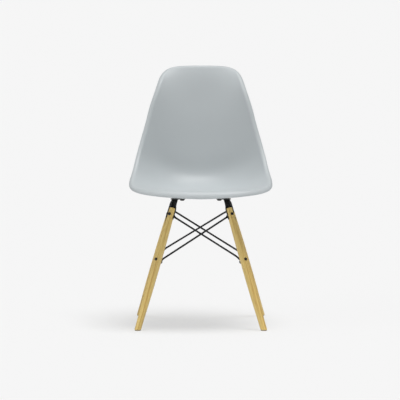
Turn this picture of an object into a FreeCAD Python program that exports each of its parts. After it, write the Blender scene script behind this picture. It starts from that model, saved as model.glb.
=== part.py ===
import FreeCAD, Part
import math
import os

# Side chair: one moulded plastic shell on four turned wooden legs, which are
# joined by black steel brackets at the top and by crossed steel rods on all
# four sides. Millimetres, +Z up, floor at Z = 0, the sitter faces -Y.
# The origin is on the floor under the middle of the chair.

V = FreeCAD.Vector

# Shell
SEAT_HEIGHT = 425.5
BACK_RISE = 396.5
SHEET_WIDTH = 453.0
SHEET_DEPTH = 503.0
SHEET_SHIFT = 1.5
SHELL_THICKNESS = 5.0
RIM_ROLL = 11.0
FRONT_ROLL = 22.0
TOP_ROLL = 12.0
RIM_SKIRT = 1.0
FRONT_SKIRT = 5.0
TOP_SKIRT = 4.5
FRONT_CORNER = (5.5, 5.0)
TOP_CORNER = (9.0, 20.0)
SEW_TOLERANCE = 0.05
TRIM_TOLERANCE = 0.2

# Stations of the sheet from its front edge to its top edge. Each one holds
# the depth and height of the middle line, then the half width, depth and
# height of the side edge, as shares of the sizes above, then the fullness of
# the curve that joins the two: a larger one keeps the middle flatter.
STATIONS = (
    (0.000, 0.064, 1.000, 0.068, 0.079, 3.2),
    (0.119, 0.045, 0.996, 0.179, 0.079, 3.2),
    (0.298, 0.016, 0.976, 0.328, 0.096, 3.2),
    (0.477, 0.000, 0.943, 0.481, 0.134, 3.0),
    (0.616, 0.006, 0.907, 0.586, 0.190, 2.8),
    (0.720, 0.044, 0.872, 0.660, 0.269, 2.6),
    (0.789, 0.125, 0.832, 0.710, 0.354, 2.4),
    (0.827, 0.238, 0.788, 0.748, 0.445, 2.3),
    (0.857, 0.377, 0.737, 0.781, 0.549, 2.2),
    (0.893, 0.566, 0.669, 0.823, 0.697, 2.2),
    (0.936, 0.763, 0.581, 0.883, 0.844, 2.2),
    (1.000, 1.000, 0.499, 0.992, 0.997, 2.4),
)

# Shares along and across at which the sheet is held to its stations, a little
# past its edges, and closer together where it bends more
HELD_ALONG = (-0.02, 0.05, 0.12, 0.20, 0.28, 0.36, 0.42, 0.47, 0.52, 0.57, 0.63, 0.70, 0.79, 0.90, 1.02)
HELD_ACROSS = (-1.03, -0.88, -0.62, -0.32, 0.0, 0.32, 0.62, 0.88, 1.03)

# Moulded bosses under the seat and the steel inserts in them
MOUNT_DROP = 10.5
SCREW_SPAN_X = 120.0
SCREW_SPAN_Y = 134.0
BOSS_DIAMETER = 28.0
BOSS_DRAFT = 0.08
INSERT_DIAMETER = 10.0
INSERT_LENGTH = 10.0

# Legs
FOOT_SPAN_X = 405.2
FOOT_SPAN_Y = 448.0
LEG_SPLAY = 16.25
LEG_FOOT_RADIUS = 10.4
LEG_LOWER_RADIUS = 12.0
LEG_BELLY_RADIUS = 12.6
LEG_UPPER_RADIUS = 12.0
LEG_SHOULDER_RADIUS = 10.9
LEG_TOP_RADIUS = 10.0
LEG_LOWER_SHARE = 0.26
BELLY_REACH = 24.0
LEG_UPPER_SHARE = 0.78
LEG_TOP_CHAMFER = 1.0
FOOT_ALLOWANCE = 6.0
FOOT_STRAIGHT = 14.0

# Brackets at the leg tops
PAD_WIDTH = 30.0
PAD_THICKNESS = 3.0
NECK_LENGTH = 30.0
NECK_RADIUS = 9.0
CUP_LENGTH = 35.5
CUP_WALL = 2.3
CUP_CLEARANCE = 0.1

# Fasteners
BOLT_DIAMETER = 6.0
BOLT_HOLE = 6.4
HEAD_DIAMETER = 10.0
HEAD_HEIGHT = 3.3
HEAD_SINK = 1.5
BOLT_SOCKET = 4.0
BOLT_END = 1.5
NUT_WIDTH = 10.0
NUT_HEIGHT = 5.0
BOLT_AZIMUTH = 31.4
UPPER_BOLT_DOWN = 52.0
LOWER_BOLT_DOWN = 207.0
SEAT_FLAT = 0.5
LEG_FLAT_DIAMETER = 16.0
FLANGE_DIAMETER = 21.0
FLANGE_THICKNESS = 1.8
SCREW_HEAD_DIAMETER = 15.0
SCREW_HEAD_HEIGHT = 7.0
SCREW_SOCKET = 6.0
SCREW_GAP = 1.5
HEAD_CLEARANCE = 0.8

# Crossed rods
ROD_DIAMETER = 6.0
ROD_GAP = 0.3
EYE_DIAMETER = 13.0
EYE_THICKNESS = 2.8
KNEE_GAP = 4.0
ROD_START = 10.0
ROD_SLANT_GAP = 0.3

# Feet
GLIDE_DIAMETER = 19.0
GLIDE_THICKNESS = 3.5
GLIDE_EDGE = 0.8
PEG_DIAMETER = 5.0
PEG_LENGTH = 14.0

# Corners of the base, in order round the chair as seen from above
CORNERS = (
    ("front_left", -1, -1),
    ("front_right", 1, -1),
    ("rear_right", 1, 1),
    ("rear_left", -1, 1),
)
SIDES = ("front", "right", "rear", "left")

MOUNT_PLANE = SEAT_HEIGHT - MOUNT_DROP
PAD_UNDERSIDE = MOUNT_PLANE - PAD_THICKNESS
SPLAY_SLOPE = math.tan(math.radians(LEG_SPLAY))


def spline(places, values):
    """Natural cubic spline through the values, as a function of place."""
    count = len(places)
    steps = [places[i + 1] - places[i] for i in range(count - 1)]
    rises = [(values[i + 1] - values[i]) / steps[i] for i in range(count - 1)]
    diagonal = [1.0]
    bends = [0.0]
    for i in range(1, count - 1):
        share = steps[i - 1] / diagonal[-1] if i > 1 else 0.0
        diagonal.append(2.0 * (steps[i - 1] + steps[i]) - share * steps[i - 1])
        bends.append(6.0 * (rises[i] - rises[i - 1]) - share * bends[-1])
    second = [0.0] * count
    for i in range(count - 2, 0, -1):
        second[i] = (bends[i] - steps[i] * second[i + 1]) / diagonal[i]

    def value(place):
        i = 0
        while i < count - 2 and place > places[i + 1]:
            i += 1
        before = (places[i + 1] - place) / steps[i]
        after = (place - places[i]) / steps[i]
        curve = (before ** 3 - before) * second[i] + (after ** 3 - after) * second[i + 1]
        return before * values[i] + after * values[i + 1] + curve * steps[i] ** 2 / 6.0

    return value


def surface_through(curves, places, closed):
    """Cubic surface through curves that share their knots, one at each place."""
    net = []
    columns = []
    for k in range(curves[0].NbPoles):
        column = Part.BSplineCurve()
        column.interpolate(Points=[curve.getPole(k + 1) for curve in curves], Parameters=places)
        columns.append(column)
        net.append(column.getPoles())
    surface = Part.BSplineSurface()
    surface.buildFromPolesMultsKnots(
        net,
        curves[0].getMultiplicities(),
        columns[0].getMultiplicities(),
        curves[0].getKnots(),
        columns[0].getKnots(),
        closed,
        False,
        curves[0].Degree,
        columns[0].Degree,
    )
    return surface


def held_surface(points):
    """Surface through a grid of points, held at the shares above."""
    curves = []
    for line in points:
        curve = Part.BSplineCurve()
        curve.interpolate(Points=line, Parameters=HELD_ACROSS)
        curves.append(curve)
    return surface_through(curves, HELD_ALONG, False)


def closed_curve(points):
    """Smooth closed curve through the points, with the same knots each time."""
    count = len(points)
    curve = Part.BSplineCurve()
    curve.interpolate(
        Points=points,
        PeriodicFlag=True,
        Parameters=[i / count for i in range(count + 1)],
    )
    return curve


def band(rings):
    """Face that runs round the chair through closed rings of points."""
    places = [0.0]
    for before, after in zip(rings[:-1], rings[1:]):
        steps = [(q - p).Length for p, q in zip(before, after)]
        places.append(places[-1] + sum(steps) / len(steps))
    return surface_through([closed_curve(ring) for ring in rings], places, True).toShape()


class Sheet:
    """The sitting surface and the underside, by shares along and across."""

    def __init__(self):
        front = SHEET_SHIFT - SHEET_DEPTH / 2.0
        middle_y = [front + SHEET_DEPTH * row[0] for row in STATIONS]
        middle_z = [SEAT_HEIGHT + BACK_RISE * row[1] for row in STATIONS]
        edge_x = [SHEET_WIDTH / 2.0 * row[2] for row in STATIONS]
        edge_y = [front + SHEET_DEPTH * row[3] for row in STATIONS]
        edge_z = [SEAT_HEIGHT + BACK_RISE * row[4] for row in STATIONS]
        run = [0.0]
        for i in range(1, len(STATIONS)):
            step = math.hypot(middle_y[i] - middle_y[i - 1], middle_z[i] - middle_z[i - 1])
            run.append(run[-1] + step)
        places = [length / run[-1] for length in run]
        self.middle_y = spline(places, middle_y)
        self.middle_z = spline(places, middle_z)
        self.edge_x = spline(places, edge_x)
        self.edge_y = spline(places, edge_y)
        self.edge_z = spline(places, edge_z)
        self.fullness = spline(places, [row[5] for row in STATIONS])
        self.top = held_surface([[self.held(u, v) for v in HELD_ACROSS] for u in HELD_ALONG])
        self.bottom = held_surface([
            [self.point(u, v) - self.normal(u, v) * SHELL_THICKNESS for v in HELD_ACROSS]
            for u in HELD_ALONG
        ])

    def held(self, along, across):
        """Place that the stations give for the shares."""
        lift = abs(across) ** self.fullness(along)
        y = self.middle_y(along)
        z = self.middle_z(along)
        y += (self.edge_y(along) - y) * lift
        z += (self.edge_z(along) - z) * lift
        return V(self.edge_x(along) * across, y, z)

    def point(self, along, across):
        return self.top.value(across, along)

    def normal(self, along, across, step=0.0005):
        """Unit vector square to the sheet, on the sitter's side."""
        forward = self.point(along + step, across) - self.point(along - step, across)
        sideways = self.point(along, across + step) - self.point(along, across - step)
        square = sideways.cross(forward)
        return square / square.Length

    def under(self, x, y):
        """Shares along and across of the sheet's point over the place x, y."""
        along = 0.3
        across = x / (SHEET_WIDTH / 2.0)
        step = 0.0005
        for turn in range(20):
            here = self.point(along, across)
            by_along = (self.point(along + step, across) - here) / step
            by_across = (self.point(along, across + step) - here) / step
            miss_x = x - here.x
            miss_y = y - here.y
            scale = by_along.x * by_across.y - by_along.y * by_across.x
            along += (miss_x * by_across.y - miss_y * by_across.x) / scale
            across += (miss_y * by_along.x - miss_x * by_along.y) / scale
        return along, across


def rounded(angle, corner):
    """Point of a rounded square of half size 1, whose corner has two exponents."""
    cosine = math.cos(angle)
    sine = math.sin(angle)
    across = math.copysign(abs(cosine) ** (2.0 / corner[0]), cosine)
    along = math.copysign(abs(sine) ** (2.0 / corner[1]), sine)
    return 0.5 + along / 2.0, across


def sheet_outline(sheet):
    """Edge of the sheet as shares, in steps that are shorter where it turns."""
    count = 48
    fine = 2400
    turning_weight = 200.0
    shares = []
    for i in range(fine + 1):
        angle = math.pi / 2.0 + 2.0 * math.pi * i / fine
        # walks each quarter slowly near its ends, where the shares run fast
        quarter = math.floor(angle / (math.pi / 2.0)) * math.pi / 2.0
        within = (angle - quarter) / (math.pi / 2.0)
        within = within ** 6 / (within ** 6 + (1.0 - within) ** 6)
        angle = quarter + within * math.pi / 2.0
        corner = TOP_CORNER if math.sin(angle) >= 0.0 else FRONT_CORNER
        shares.append(rounded(angle, corner))
    points = [sheet.point(*share) for share in shares]
    measure = [0.0]
    heading = None
    for i in range(fine):
        step = points[i + 1] - points[i]
        turn = 0.0
        if step.Length > 0.01:
            if heading is not None:
                turn = heading.getAngle(step)
            heading = step
        measure.append(measure[-1] + step.Length + turning_weight * turn)
    outline = []
    i = 0
    for k in range(count):
        target = measure[-1] * k / count
        while measure[i + 1] < target:
            i += 1
        span = max(measure[i + 1] - measure[i], 1e-9)
        part = (target - measure[i]) / span
        along = shares[i][0] + (shares[i + 1][0] - shares[i][0]) * part
        across = shares[i][1] + (shares[i + 1][1] - shares[i][1]) * part
        outline.append((along, across))
    return outline


def ramp(value):
    return min(max(value, 0.0), 1.0)


def lip_sizes(along, across):
    """Roll radius and skirt length of the rim at a place on the outline."""
    front = ramp(1.0 - abs(across) ** 1.6) * ramp((0.12 - along) / 0.12)
    top = ramp((along - 0.8) / 0.2)
    roll = RIM_ROLL + (FRONT_ROLL - RIM_ROLL) * front + (TOP_ROLL - RIM_ROLL) * top
    skirt = RIM_SKIRT + (FRONT_SKIRT - RIM_SKIRT) * front + (TOP_SKIRT - RIM_SKIRT) * top
    return roll, skirt


def rim_rings(sheet, outline):
    """Rings of points down the outside and the inside of the rolled rim."""
    edge = [sheet.point(*share) for share in outline]
    up = [sheet.normal(*share) for share in outline]
    sizes = [lip_sizes(*share) for share in outline]
    out = []
    for i in range(len(outline)):
        ahead = edge[(i + 1) % len(edge)] - edge[i - 1]
        sideways = ahead.cross(up[i])
        out.append(sideways / sideways.Length)

    def ring(degrees, depth, skirt_share):
        angle = math.radians(degrees)
        points = []
        for i in range(len(outline)):
            radius = sizes[i][0] - depth
            drop = depth + radius * (1.0 - math.cos(angle)) + sizes[i][1] * skirt_share
            points.append(edge[i] + out[i] * radius * math.sin(angle) - up[i] * drop)
        return points

    under = [sheet.bottom.value(across, along) for along, across in outline]
    sides = []
    for first, depth in ((edge, 0.0), (under, SHELL_THICKNESS)):
        sides.append([first, ring(30.0, depth, 0.0), ring(60.0, depth, 0.0), ring(90.0, depth, 1.0)])
    return sides


def make_shell_body(sheet):
    """Top and underside of the sheet, joined by the two sides and end of the rim."""
    outer, inner = rim_rings(sheet, sheet_outline(sheet))
    faces = [band([outer[-1], inner[-1]])]
    for surface, rings in ((sheet.top, outer), (sheet.bottom, inner)):
        side = band(rings)
        ring_length = closed_curve(rings[0]).length()
        loops = [edge for edge in side.Edges if edge.isClosed()]
        loops.sort(key=lambda edge: abs(edge.Length - ring_length))
        field = Part.Face(surface, Part.Wire(loops[:1]))
        field.fix(TRIM_TOLERANCE, TRIM_TOLERANCE, TRIM_TOLERANCE)
        faces += [side, field]
    skin = Part.Compound(faces)
    skin.sewShape(SEW_TOLERANCE)
    body = Part.Solid(skin.Shells[0])
    if body.Volume < 0.0:
        body.reverse()
    return body


def half_space(point, normal):
    """Large box on the side of the plane that the normal points to."""
    size = 2.0 * (SEAT_HEIGHT + BACK_RISE)
    box = Part.makeBox(size, size, size, V(-size / 2.0, -size / 2.0, 0.0))
    box.Placement = FreeCAD.Placement(point, FreeCAD.Rotation(V(0, 0, 1), normal))
    return box


def make_seat_shell(sheet):
    """The shell with its rolled rim and the four bosses under the seat."""
    shell = make_shell_body(sheet)
    tall = 4.0 * MOUNT_DROP
    for name, sign_x, sign_y in CORNERS:
        foot = V(sign_x * SCREW_SPAN_X / 2.0, sign_y * SCREW_SPAN_Y / 2.0, MOUNT_PLANE)
        radius = BOSS_DIAMETER / 2.0
        boss = Part.makeCone(radius, radius + BOSS_DRAFT * tall, tall, foot)
        share = sheet.under(foot.x, foot.y)
        normal = sheet.normal(*share)
        boss = boss.cut(half_space(sheet.point(*share) - normal * SHELL_THICKNESS / 2.0, normal))
        shell = shell.fuse(boss)
    for name, sign_x, sign_y in CORNERS:
        foot = V(sign_x * SCREW_SPAN_X / 2.0, sign_y * SCREW_SPAN_Y / 2.0, MOUNT_PLANE)
        shell = shell.cut(Part.makeCylinder(INSERT_DIAMETER / 2.0, INSERT_LENGTH, foot))
    return shell


class Corner:
    """Where one leg stands, leans and is bolted."""

    def __init__(self, name, sign_x, sign_y):
        self.name = name
        self.foot = V(sign_x * FOOT_SPAN_X / 2.0, sign_y * FOOT_SPAN_Y / 2.0, 0.0)
        self.up = V(-sign_x * SPLAY_SLOPE, -sign_y * SPLAY_SLOPE, 1.0).normalize()
        self.screw = V(sign_x * SCREW_SPAN_X / 2.0, sign_y * SCREW_SPAN_Y / 2.0, PAD_UNDERSIDE)
        self.crown = self.at_height(PAD_UNDERSIDE)
        azimuth = math.radians(BOLT_AZIMUTH)
        outward = V(sign_x * math.sin(azimuth), sign_y * math.cos(azimuth), 0.0)
        self.out = (outward - self.up * outward.dot(self.up)).normalize()
        self.side = self.up.cross(self.out)
        self.length = (self.crown - self.foot).Length - NECK_LENGTH

    def at_height(self, height):
        return self.foot + self.up * (height / self.up.z)

    def down(self, distance):
        """Point of the leg's axis below the bracket's pad."""
        return self.crown - self.up * distance

    def upper_seat(self):
        """Distance from the axis to the bracket's flat at the upper bolt."""
        return LEG_TOP_RADIUS + CUP_CLEARANCE + CUP_WALL - SEAT_FLAT

    def lower_seat(self):
        """Distance from the axis to the wood's flat at the lower bolt."""
        return LEG_BELLY_RADIUS - SEAT_FLAT

    def upper_head(self):
        return LEG_TOP_RADIUS - HEAD_SINK

    def lower_head(self):
        return LEG_BELLY_RADIUS - HEAD_SINK

    def bore(self, distance, start, end, diameter):
        """Cylinder on a bolt's axis between two distances from the leg's axis."""
        base = self.down(distance) + self.out * start
        return Part.makeCylinder(diameter / 2.0, end - start, base, self.out)


def make_leg(corner):
    """Turned leg: tapered foot, belly, tapered top, flats and bolt holes."""
    reach = 2.0 * LEG_BELLY_RADIUS
    length = corner.length

    def place(radius, distance):
        return corner.foot + corner.up * distance + corner.side * radius

    tip = place(LEG_FOOT_RADIUS, -FOOT_ALLOWANCE)
    foot = place(LEG_FOOT_RADIUS, FOOT_STRAIGHT)
    bolt = length + NECK_LENGTH - LOWER_BOLT_DOWN
    belly = place(LEG_BELLY_RADIUS, bolt - BELLY_REACH)
    belly_end = place(LEG_BELLY_RADIUS, bolt + BELLY_REACH)
    shoulder = place(LEG_SHOULDER_RADIUS, length - CUP_LENGTH)
    lower = Part.Arc(foot, place(LEG_LOWER_RADIUS, length * LEG_LOWER_SHARE), belly)
    upper = Part.Arc(belly_end, place(LEG_UPPER_RADIUS, length * LEG_UPPER_SHARE), shoulder)
    rest = Part.makePolygon([
        shoulder,
        place(LEG_TOP_RADIUS, length - CUP_LENGTH),
        place(LEG_TOP_RADIUS, length - LEG_TOP_CHAMFER),
        place(LEG_TOP_RADIUS - LEG_TOP_CHAMFER, length),
        place(0.0, length),
        place(0.0, -FOOT_ALLOWANCE),
        tip,
        foot,
    ])
    flank = [lower.toShape(), Part.makeLine(belly, belly_end), upper.toShape()]
    leg = Part.Face(Part.Wire(flank + rest.Edges)).revolve(corner.foot, corner.up, 360)

    leg = leg.cut(half_space(V(corner.foot.x, corner.foot.y, GLIDE_THICKNESS), V(0, 0, -1)))
    for distance, head in (
        (UPPER_BOLT_DOWN, corner.upper_head()),
        (LOWER_BOLT_DOWN, corner.lower_head()),
    ):
        leg = leg.cut(corner.bore(distance, -reach, reach, BOLT_HOLE))
        leg = leg.cut(corner.bore(distance, head, reach, HEAD_DIAMETER + HEAD_CLEARANCE))
    seat = corner.lower_seat()
    leg = leg.cut(corner.bore(LOWER_BOLT_DOWN, -reach, -seat, LEG_FLAT_DIAMETER))
    peg = corner.at_height(GLIDE_THICKNESS)
    return leg.cut(Part.makeCylinder(PEG_DIAMETER / 2.0, PEG_LENGTH, peg))


def make_bracket(corner):
    """Black steel bracket: a pad under the seat on a half-round tapered cup."""
    radius = PAD_WIDTH / 2.0
    ahead = V(corner.screw.x - corner.crown.x, corner.screw.y - corner.crown.y, 0.0).normalize()
    across = V(-ahead.y, ahead.x, 0.0)
    back = corner.crown
    front = corner.screw
    outline = Part.Wire([
        Part.Arc(back + across * radius, back - ahead * radius, back - across * radius).toShape(),
        Part.makeLine(back - across * radius, front - across * radius),
        Part.Arc(front - across * radius, front + ahead * radius, front + across * radius).toShape(),
        Part.makeLine(front + across * radius, back + across * radius),
    ])
    pad = Part.Face(outline).extrude(V(0, 0, PAD_THICKNESS))

    def place(radial, distance):
        return corner.down(distance) + corner.side * radial

    low = NECK_LENGTH + CUP_LENGTH
    inner = LEG_TOP_RADIUS + CUP_CLEARANCE
    profile = Part.makePolygon([
        place(inner, low),
        place(inner, NECK_LENGTH),
        place(NECK_RADIUS - CUP_WALL, -PAD_THICKNESS),
        place(NECK_RADIUS, -PAD_THICKNESS),
        place(inner + CUP_WALL, NECK_LENGTH),
        place(inner + CUP_WALL, low),
        place(inner, low),
    ])
    cup = Part.Face(profile).revolve(corner.crown, corner.up, 180)
    cup = cup.cut(half_space(corner.crown, V(0, 0, 1)))
    bracket = pad.fuse(cup)

    reach = 2.0 * LEG_BELLY_RADIUS
    seat = corner.upper_seat()
    bracket = bracket.cut(corner.bore(UPPER_BOLT_DOWN, -reach, 0.0, BOLT_HOLE))
    bracket = bracket.cut(corner.bore(UPPER_BOLT_DOWN, -reach, -seat, LEG_FLAT_DIAMETER))
    bracket = bracket.cut(Part.makeCylinder(BOLT_HOLE / 2.0, PAD_THICKNESS, corner.screw))
    return bracket.removeSplitter()


def hexagon(width, height, base):
    """Six-sided bar by its width across the flats, upright from its base."""
    corner_radius = width / math.sqrt(3.0)
    points = []
    for k in range(7):
        angle = math.radians(60.0 * k)
        points.append(base + V(corner_radius * math.cos(angle), corner_radius * math.sin(angle), 0.0))
    return Part.Face(Part.makePolygon(points)).extrude(V(0, 0, height))


def laid(shape, seat, direction):
    """The upright shape with its origin at the seat and its top along direction."""
    shape.Placement = FreeCAD.Placement(seat, FreeCAD.Rotation(V(0, 0, 1), direction))
    return shape


def make_bolt(shank, head_diameter, head_height, socket):
    """Socket bolt, head up, whose head rests at the origin."""
    bolt = Part.makeCylinder(head_diameter / 2.0, head_height)
    bolt = bolt.cut(hexagon(socket, head_height, V(0, 0, head_height * 0.4)))
    return bolt.fuse(Part.makeCylinder(BOLT_DIAMETER / 2.0, shank, V(0, 0, -shank)))


def make_nut():
    """Hexagon nut that rests at the origin."""
    nut = hexagon(NUT_WIDTH, NUT_HEIGHT, V(0, 0, 0))
    return nut.cut(Part.makeCylinder(BOLT_DIAMETER / 2.0, NUT_HEIGHT))


def make_eye(eye, axis, leave):
    """Round eye and the flattened end of the rod that leaves it."""
    thickness = EYE_THICKNESS / 2.0
    radius = ROD_DIAMETER / 2.0
    reach = EYE_DIAMETER / 2.0
    inside = reach * 0.8
    neck = Part.makeCylinder(radius, ROD_START - inside, eye + leave * inside, leave)
    slope = (radius - thickness) / (ROD_START - ROD_SLANT_GAP - reach)
    for way in (1.0, -1.0):
        face = axis * way
        neck = neck.cut(half_space(eye + leave * reach + face * thickness, face - leave * slope))
    disc = Part.makeCylinder(reach, EYE_THICKNESS, eye - axis * thickness, axis)
    hole = Part.makeCylinder(BOLT_HOLE / 2.0, 2.0 * EYE_THICKNESS, eye - axis * EYE_THICKNESS, axis)
    return disc.fuse(neck).cut(hole)


def make_rod(ends, knees):
    """Round rod, bent at its two knees, whose ends are flattened to eyes."""
    starts = []
    rod = None
    for (eye, axis), knee in zip(ends, knees):
        leave = (knee - eye).normalize()
        starts.append(eye + leave * ROD_START)
        tip = make_eye(eye, axis, leave)
        rod = tip if rod is None else rod.fuse(tip)
    route = Part.makePolygon([starts[0], knees[0], knees[1], starts[1]])
    leave = (knees[0] - starts[0]).normalize()
    profile = Part.Wire(Part.makeCircle(ROD_DIAMETER / 2.0, starts[0], leave))
    mitred = 1
    return rod.fuse(route.makePipeShell([profile], True, True, mitred))


def make_side_rods(left, right):
    """The two crossed rods of one side, as seen from outside the chair.

    The outer rod falls from the left leg's upper bolt to the right leg's
    lower bolt and its eyes lie next to the legs. The inner rod rises the
    other way, and its eyes lie on the outer rods' eyes. Their flat ends
    differ in length, so that the rods just clear each other where they cross.
    """
    ends = []
    for layer, high, low in ((0, left, right), (1, right, left)):
        depth = (layer + 0.5) * EYE_THICKNESS
        top = high.down(UPPER_BOLT_DOWN) - high.out * (high.upper_seat() + depth)
        foot = low.down(LOWER_BOLT_DOWN) - low.out * (low.lower_seat() + depth)
        ends.append(((top, high.out), (foot, low.out)))

    def knees(pair, reach):
        (top, top_axis), (foot, foot_axis) = pair
        run = (foot - top).normalize()
        leave_top = (run - top_axis * run.dot(top_axis)).normalize()
        leave_foot = (foot_axis * run.dot(foot_axis) - run).normalize()
        return top + leave_top * reach, foot + leave_foot * reach

    stretch = 0.0
    for turn in range(20):
        outer = knees(ends[0], ROD_START + KNEE_GAP + stretch)
        inner = knees(ends[1], ROD_START + KNEE_GAP)
        outward = (outer[1] - outer[0]).cross(inner[1] - inner[0]).normalize()
        if outward.dot(left.foot + right.foot) < 0:
            outward = -outward
        apart = (outer[0] - inner[0]).dot(outward)
        stretch += (ROD_DIAMETER + ROD_GAP - apart) * 1.4
    return make_rod(ends[0], outer), make_rod(ends[1], inner)


def make_leg_bolts(corner):
    """Upper bolt, lower bolt and their nuts."""
    bolts = []
    nuts = []
    for distance, head, seat in (
        (UPPER_BOLT_DOWN, corner.upper_head(), corner.upper_seat()),
        (LOWER_BOLT_DOWN, corner.lower_head(), corner.lower_seat()),
    ):
        stack = seat + 2.0 * EYE_THICKNESS
        point = corner.down(distance)
        shank = head + stack + NUT_HEIGHT + BOLT_END
        bolt = make_bolt(shank, HEAD_DIAMETER, HEAD_HEIGHT, BOLT_SOCKET)
        bolts.append(laid(bolt, point + corner.out * head, corner.out))
        nuts.append(laid(make_nut(), point - corner.out * stack, -corner.out))
    return bolts, nuts


def make_seat_fasteners(corner):
    """Flanged screw under the pad and the steel insert in the shell's boss."""
    shank = PAD_THICKNESS + INSERT_LENGTH - SCREW_GAP
    screw = make_bolt(shank, SCREW_HEAD_DIAMETER, SCREW_HEAD_HEIGHT, SCREW_SOCKET)
    screw = screw.fuse(Part.makeCylinder(FLANGE_DIAMETER / 2.0, FLANGE_THICKNESS))
    base = corner.screw + V(0, 0, PAD_THICKNESS)
    insert = Part.makeCylinder(INSERT_DIAMETER / 2.0, INSERT_LENGTH, base)
    insert = insert.cut(Part.makeCylinder(BOLT_DIAMETER / 2.0, INSERT_LENGTH, base))
    return laid(screw, corner.screw, V(0, 0, -1)), insert


def make_glide(corner):
    """Push-in glide under the leg, with its peg."""
    middle = corner.at_height(GLIDE_THICKNESS)
    floor = V(middle.x, middle.y, 0.0)
    glide = Part.makeCylinder(GLIDE_DIAMETER / 2.0, GLIDE_THICKNESS, floor)
    glide = glide.makeChamfer(GLIDE_EDGE, [glide.Edges[2]])
    return glide.fuse(Part.makeCylinder(PEG_DIAMETER / 2.0, PEG_LENGTH, middle))


def build():
    """Every node of the chair by name, in chair coordinates."""
    corners = [Corner(*row) for row in CORNERS]
    nodes = {"seat_shell": make_seat_shell(Sheet())}
    upper_bolts = []
    lower_bolts = []
    nuts = []
    screws = []
    inserts = []
    for corner in corners:
        nodes["leg_" + corner.name] = make_leg(corner)
        nodes["leg_bracket_" + corner.name] = make_bracket(corner)
        nodes["foot_glide_" + corner.name] = make_glide(corner)
        (upper, lower), pair = make_leg_bolts(corner)
        upper_bolts.append(upper)
        lower_bolts.append(lower)
        nuts += pair
        screw, insert = make_seat_fasteners(corner)
        screws.append(screw)
        inserts.append(insert)
    for k, side in enumerate(SIDES):
        outer, inner = make_side_rods(corners[k], corners[(k + 1) % len(corners)])
        nodes["brace_rod_" + side + "_outer"] = outer
        nodes["brace_rod_" + side + "_inner"] = inner
    nodes["upper_leg_bolts"] = Part.makeCompound(upper_bolts)
    nodes["lower_leg_bolts"] = Part.makeCompound(lower_bolts)
    nodes["leg_bolt_nuts"] = Part.makeCompound(nuts)
    nodes["seat_screws"] = Part.makeCompound(screws)
    nodes["shell_inserts"] = Part.makeCompound(inserts)
    return nodes


def main():
    os.makedirs("parts", exist_ok=True)
    for name, shape in build().items():
        shape.exportStep(os.path.join("parts", name + ".step"))
        print(f"{name}: {len(shape.Solids)} solid, {shape.Volume / 1000.0:.2f} cm3, valid {shape.isValid()}")


main()
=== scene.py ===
import math

import bpy
from mathutils import Matrix, Vector


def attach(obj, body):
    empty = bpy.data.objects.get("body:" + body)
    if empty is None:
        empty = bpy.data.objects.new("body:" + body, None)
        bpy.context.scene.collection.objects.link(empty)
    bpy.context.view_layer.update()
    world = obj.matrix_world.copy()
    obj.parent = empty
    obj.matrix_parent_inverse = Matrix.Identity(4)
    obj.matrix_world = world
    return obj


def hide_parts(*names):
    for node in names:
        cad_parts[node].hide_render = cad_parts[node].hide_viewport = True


# Moulded shell chair on four turned legs. Metres, +Z up, the sitter faces -Y.
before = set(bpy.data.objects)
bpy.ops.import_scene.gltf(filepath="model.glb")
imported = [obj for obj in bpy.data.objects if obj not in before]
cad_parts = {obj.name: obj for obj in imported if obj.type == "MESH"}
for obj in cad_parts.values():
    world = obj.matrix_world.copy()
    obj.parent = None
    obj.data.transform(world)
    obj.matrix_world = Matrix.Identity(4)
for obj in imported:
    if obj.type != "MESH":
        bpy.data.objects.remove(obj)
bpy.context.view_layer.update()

# Shell
SEAT_HEIGHT = 0.4255
BACK_RISE = 0.3965
SHEET_WIDTH = 0.453
SHEET_DEPTH = 0.503
SHEET_SHIFT = 0.0015
SHELL_THICKNESS = 0.005
RIM_ROLL = 0.011
FRONT_ROLL = 0.030
TOP_ROLL = 0.012
RIM_SKIRT = 0.0010
FRONT_SKIRT = 0.0
TOP_SKIRT = 0.0045

# Where the rim's front and top forms fade in, as shares of the way along the
# sheet, and the power with which the front one fades out across it
FRONT_REACH = 0.12
TOP_START = 0.8
TOP_REACH = 0.2
FRONT_FADE = 1.6

# Outline: roundness of its corners, across and along, and how its points pack
# where it turns
FRONT_CORNER = (5.5, 5.0)
TOP_CORNER = (9.0, 20.0)
CORNER_PACKING = 6
FINE_STEPS = 4800
TURNING_WEIGHT = 0.12
SHORTEST_STEP = 0.00001
LEAST_MEASURE = 1e-12
NORMAL_STEP = 0.0005
OUTLINE_STEPS = 336

# Rings of the shell, which close in on a pole in the seat
POLE_SHARE = 0.30
SHEET_RINGS = 44
ROLL_STEPS = 10
NOSE_STEPS = 8

# Stations of the sheet from its front edge to its top edge: depth and height
# of the middle line, half width, depth and height of the side edge, fullness
STATIONS = (
    (0.018, 0.064, 1.000, 0.068, 0.079, 3.2),
    (0.119, 0.045, 0.996, 0.179, 0.079, 3.2),
    (0.298, 0.016, 0.976, 0.328, 0.096, 3.2),
    (0.477, 0.000, 0.943, 0.481, 0.134, 3.0),
    (0.616, 0.006, 0.907, 0.586, 0.190, 2.8),
    (0.725, 0.043, 0.870, 0.663, 0.274, 2.58),
    (0.796, 0.120, 0.832, 0.710, 0.354, 2.4),
    (0.827, 0.238, 0.788, 0.748, 0.445, 2.3),
    (0.857, 0.377, 0.737, 0.781, 0.549, 2.2),
    (0.893, 0.566, 0.669, 0.823, 0.697, 2.2),
    (0.936, 0.763, 0.581, 0.883, 0.844, 2.2),
    (0.981, 0.955, 0.516, 0.968, 0.969, 2.37),
    (0.998, 1.002, 0.497, 0.992, 0.997, 2.4),
)

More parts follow.
